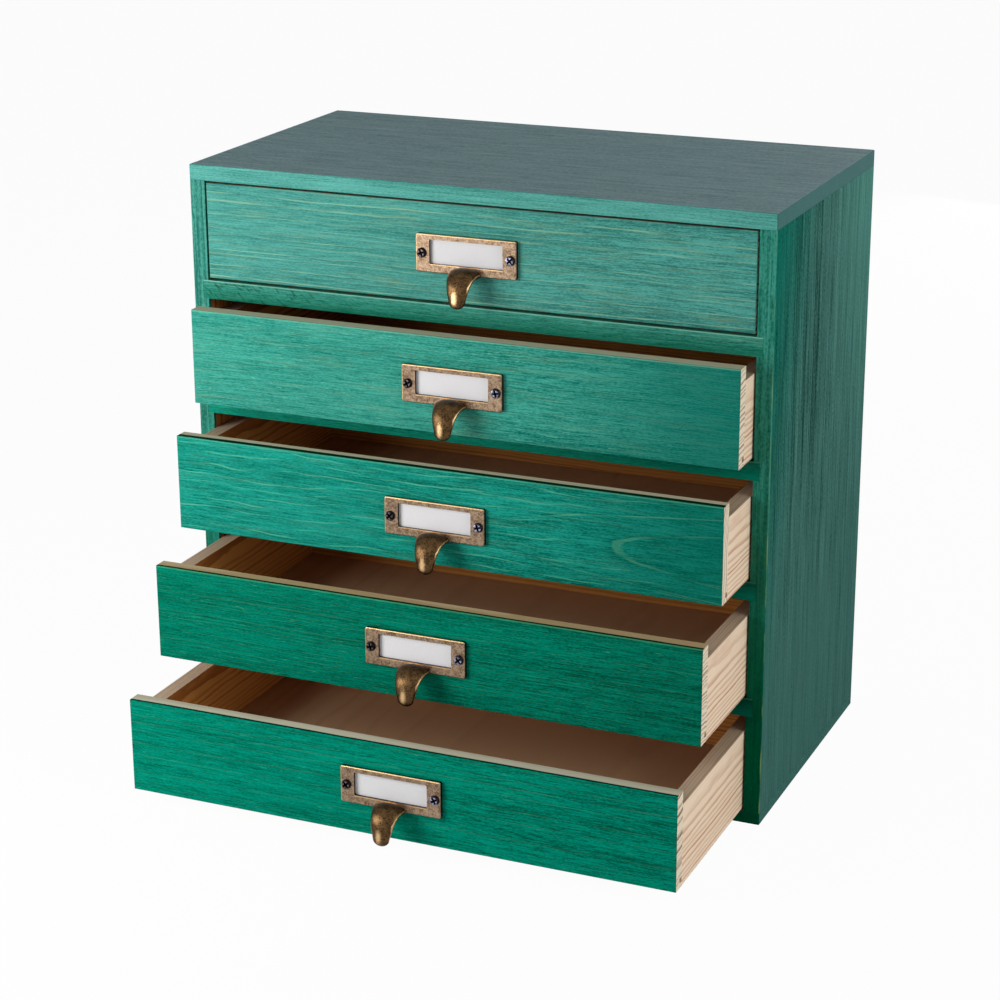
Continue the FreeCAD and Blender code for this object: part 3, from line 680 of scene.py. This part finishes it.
PLATE_BROWN = (colour(98, 76, 58), colour(166, 142, 118))
HOOK_BROWN = (colour(46, 33, 22), colour(100, 76, 48))
ROOT_SHADE_BROWN = colour(34, 24, 15)
WALL_SHADE_BROWN = colour(30, 21, 15)
PIT_BROWN = colour(40, 28, 20)
RIM_SHADE_BROWN = colour(44, 31, 22)
# The colour of the painted highlights.
HIGHLIGHT_BRASS = colour(204, 168, 122)

BROWNED_STEEL = (colour(38, 32, 32), colour(112, 100, 100))
BLUED_STEEL = (colour(60, 58, 70), colour(168, 168, 194))
CRESCENT_SHADOW = colour(12, 10, 14)
CRESCENT_SHADOW_RING = (0.62, 0.8)        # as shares of the head's radius
CROSS = colour(6, 6, 8)
CROSS_ARM = (0.5, 0.68)            # half an arm's width, whole and gone, in millimetres
CROSS_REACH = (0.68, 0.8)          # how far it reaches, as shares of the head's radius
CROSS_TURNS = ((20, 42), (30, 14), (45, 18), (16, 40), (38, 28))   # in degrees, left and right
BRAD_STEEL = (colour(170, 170, 170), colour(100, 98, 96))
CARD = (colour(222, 220, 221), colour(230, 228, 229))


def dress_pull(n):
    """Browned cast brass with painted highlights on the plate's upper and left edges, its window's sill
    and the hook's right edge and nose, where hands also wore it.
    """
    node = f"drawer_{n}_pull"
    low, high = (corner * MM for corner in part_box(node))
    finish = Finish(f"brass_{n}")
    x, y, z = finish.place()
    out = (high.y - PLATE_THICKNESS) - y
    aside = x - (low.x + high.x) / 2
    down = high.z - z
    pits = finish.grit(size=0.8, detail=4.0)
    clouds = finish.grit(size=3, detail=3.0)
    # Painted highlights on the plate's left and upper edges.
    edges = finish.fall(x - low.x, *HIGHLIT_EDGE).highest(finish.fall(down, *HIGHLIT_EDGE))

    face = face_highlights(finish, out, aside, down, edges)
    nose = hook_nose(finish, out, aside, z - low.z)
    # Painted highlights, over a spot worn by hands on the hook's nose.
    painted_bright = (face * 0.9).highest(nose * 0.85).highest(hook_edge(finish, out, aside, down) * 0.6)
    base = finish.mix(finish.rise(painted_bright + pits * 0.5, 0.15, 0.9),
                      browned_brass(finish, out, edges, clouds, pits), HIGHLIGHT_BRASS)
    finish.surface(base, clouds * 0.15 + pits * 0.2 + 0.34, relief=pits, height=0.06, metallic=1.0)
    finish.dress(node)


def browned_brass(finish, out, edges, clouds, pits):
    """Brown brass: darker on the hook, with painted shade at its root, on the walls and on the rims to
    the right and below, and darkest in the pits.
    """
    plate = finish.mix(finish.rise(clouds * 0.6 + pits, -0.25, 0.25), *PLATE_BROWN)
    hook = finish.mix(finish.rise(clouds * 0.5 + pits, -0.25, 0.25), *HOOK_BROWN)
    base = finish.mix(finish.rise(out, *HOOK_BROWNS), plate, hook)
    # Painted shade at the hook's root.
    base = finish.mix(finish.between(out, *ROOT_SHADE) * 0.55, base, ROOT_SHADE_BROWN)
    # Painted shade on the walls of the plate and its window.
    base = finish.mix(finish.rise(-out, *SHADED_WALLS), base, WALL_SHADE_BROWN)
    base = finish.mix(finish.rise(pits, 0.1, 0.28), base, PIT_BROWN)
    # Painted shade on the rims, except on the highlighted left and upper edges.
    return finish.mix(finish.between(-out, *SHADED_RIM) * (1 - edges) * 0.6, base, RIM_SHADE_BROWN)


def face_highlights(finish, out, aside, down, edges):
    """Painted highlights on the plate: its upper and left edges and, a little less, the sill of its
    window.
    """
    sill = finish.between(down - WINDOW_DROP, *SILL) * finish.fall(abs(aside), *SILL_ENDS)
    return edges.highest(sill * 0.8) * finish.fall(-out, 0.5, 0.65) * finish.fall(out, 0.2, 0.6)


def hook_edge(finish, out, aside, down):
    """A painted highlight along the hook's right edge. The hook narrows round its bend and again to the
    tip.
    """
    sine = ((out - HOOK_STEM) / HOOK_BEND).clamped()
    bent = (sine.maths("ARCSINE") / math.radians(HOOK_TURN)).lowest(1.0)
    fallen = ((down - BEND_DROP) / HOOK_DROP).clamped()
    half = (HOOK_ROOT - bent * (HOOK_ROOT - HOOK_NECK) - fallen * (HOOK_NECK - HOOK_TIP)) / 2
    return finish.rise(aside - half, -0.3, -0.05) * finish.rise(out, 0.6, 1.6)


def hook_nose(finish, out, aside, up):
    """A painted highlight on the hook's nose, over a spot worn by hands, with soft edges."""
    across = (aside - NOSE[0]) / NOSE_SIZE[0]
    above = (up - NOSE[1]) / NOSE_SIZE[1]
    return (-(across * across + above * above)).maths("EXPONENT") * finish.rise(out, 4.0, 8.0)


def dress_screws(n):
    """Steel heads, the left one browned and the right one blued, with a black cross and a crescent of
    painted shadow.
    """
    node = f"drawer_{n}_pull_screws"
    low, high = (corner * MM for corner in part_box(node))
    head = (high.z - low.z) / 2
    middle = (low.x + high.x) / 2
    finish = Finish(f"screw_steel_{n}")
    x, _, z = finish.place()
    marks = finish.grit(size=0.7, detail=3.0)
    spots = finish.rise(marks, -0.16, 0.14)
    on_right = finish.rise(x, middle - 1, middle + 1)
    base = finish.mix(on_right, finish.mix(spots, *BROWNED_STEEL), finish.mix(spots, *BLUED_STEEL))

    aside = x - (on_right * (high.x - low.x - 2 * head) + low.x + head)
    up = z - (low.z + high.z) / 2
    around = (aside * aside + up * up).maths("SQRT") / head
    # A painted shadow in a crescent at the head's upper right.
    crescent = finish.rise(around, *CRESCENT_SHADOW_RING) * finish.rise(aside + up, -0.6, 0.8)
    base = finish.mix(crescent * 0.95, base, CRESCENT_SHADOW)

    left, right = (math.radians(turn) for turn in CROSS_TURNS[n - 1])
    turn = on_right * (right - left) + left
    cosine, sine = turn.maths("COSINE"), turn.maths("SINE")
    arm = abs(aside * cosine + up * sine).lowest(abs(up * cosine - aside * sine))
    cross = finish.fall(arm, *CROSS_ARM) * finish.fall(around, *CROSS_REACH)
    base = finish.mix(cross, base, CROSS)
    finish.surface(base, marks * 0.3 + 0.38, relief=marks, height=0.02, metallic=1.0)
    finish.dress(node)


def dress_brads():
    finish = Finish("brad_steel")
    marks = finish.grit(size=0.5, detail=3.0)
    base = finish.mix(finish.rise(marks, -0.05, 0.35), *BRAD_STEEL)
    finish.surface(base, marks * 0.3 + 0.4, relief=marks, height=0.02, metallic=1.0)
    finish.dress("back_panel_brads")


def dress_card(n):
    """Bare white card with the faint tooth of paper."""
    finish = Finish(f"card_{n}")
    tooth = finish.grit(size=0.35, detail=4.0)
    base = finish.mix(finish.rise(tooth, -0.3, 0.3), *CARD)
    finish.surface(base, roughness=0.85, relief=tooth, height=0.01)
    finish.dress(f"drawer_{n}_label_card")


# --- stage, in metres -------------------------------------------------------------------

WHITE = (1, 1, 1, 1)
FLOOR_GREY = (0.82, 0.82, 0.82, 1)
FLOOR_REACH = 6.0
FLOOR_WHITENESS = 0.96      # the rest shows the cabinet's shadow
SKY_LIGHT = 0.19
# Square soft lamps: place, size and power. All face the middle of the cabinet.
LAMPS = {
    "key": ((-0.5, -0.62, 0.35), 0.4, 4.6),
    "fill": ((1.5, -0.3, 0.6), 1.0, 12.5),
    "back": ((0.3, 1.4, 0.5), 1.0, 6),
}
LAMPS_FACE = (0, -0.05, 0.17)
CAMERA_PLACE = (0.55514, -1.33412, 0.63309)
CAMERA_TURN, CAMERA_TILT, CAMERA_ROLL = 23.44, -18.80, -0.27    # degrees
CAMERA_LENS = 91.2          # millimetres, on a sensor as wide as a small film frame
SENSOR_WIDTH = 36


def add_floor():
    mesh = bpy.data.meshes.new("floor")
    shape = bmesh.new()
    bmesh.ops.create_grid(shape, x_segments=1, y_segments=1, size=FLOOR_REACH)
    shape.to_mesh(mesh)
    shape.free()
    floor = bpy.data.objects.new("floor", mesh)
    bpy.context.scene.collection.objects.link(floor)
    finish = Finish("floor")
    lit = finish.add("BsdfDiffuse", {"Color": FLOOR_GREY})
    white = finish.add("Emission", {"Color": WHITE, "Strength": 1.0})
    finish.end(finish.white_to_the_eye(lit, white, FLOOR_WHITENESS))
    mesh.materials.append(finish.material)


def add_sky():
    world = bpy.data.worlds.new("studio")
    sky = Nodes(world)
    soft, white = (sky.add("Background", {"Color": WHITE, "Strength": strength})
                   for strength in (SKY_LIGHT, 1.0))
    sky.add("OutputWorld", {"Surface": sky.white_to_the_eye(soft, white)})
    bpy.context.scene.world = world


def add_lamp(name, place, size, power):
    lamp = bpy.data.lights.new(name, "AREA")
    lamp.size = size
    lamp.energy = power
    holder = bpy.data.objects.new(name, lamp)
    holder.location = place
    towards = Vector(LAMPS_FACE) - Vector(place)
    holder.rotation_euler = towards.to_track_quat("-Z", "Y").to_euler()
    holder.visible_camera = False
    bpy.context.scene.collection.objects.link(holder)


def add_camera():
    data = bpy.data.cameras.new("camera")
    data.lens = CAMERA_LENS
    data.sensor_width = SENSOR_WIDTH
    data.clip_start = 0.05
    holder = bpy.data.objects.new("camera", data)
    holder.matrix_world = (Matrix.Translation(CAMERA_PLACE)
                           @ Matrix.Rotation(math.radians(CAMERA_TURN), 4, "Z")
                           @ Matrix.Rotation(math.radians(90 + CAMERA_TILT), 4, "X")
                           @ Matrix.Rotation(math.radians(CAMERA_ROLL), 4, "Z"))
    bpy.context.scene.collection.objects.link(holder)
    bpy.context.scene.camera = holder


dress_carcase()
for number in range(1, DRAWERS + 1):
    dress_drawer(number)
    dress_pull(number)
    dress_screws(number)
    dress_card(number)
dress_brads()
add_floor()
add_sky()
for name, settings in LAMPS.items():
    add_lamp(name, *settings)
add_camera()
bpy.context.scene.view_settings.view_transform = "Standard"
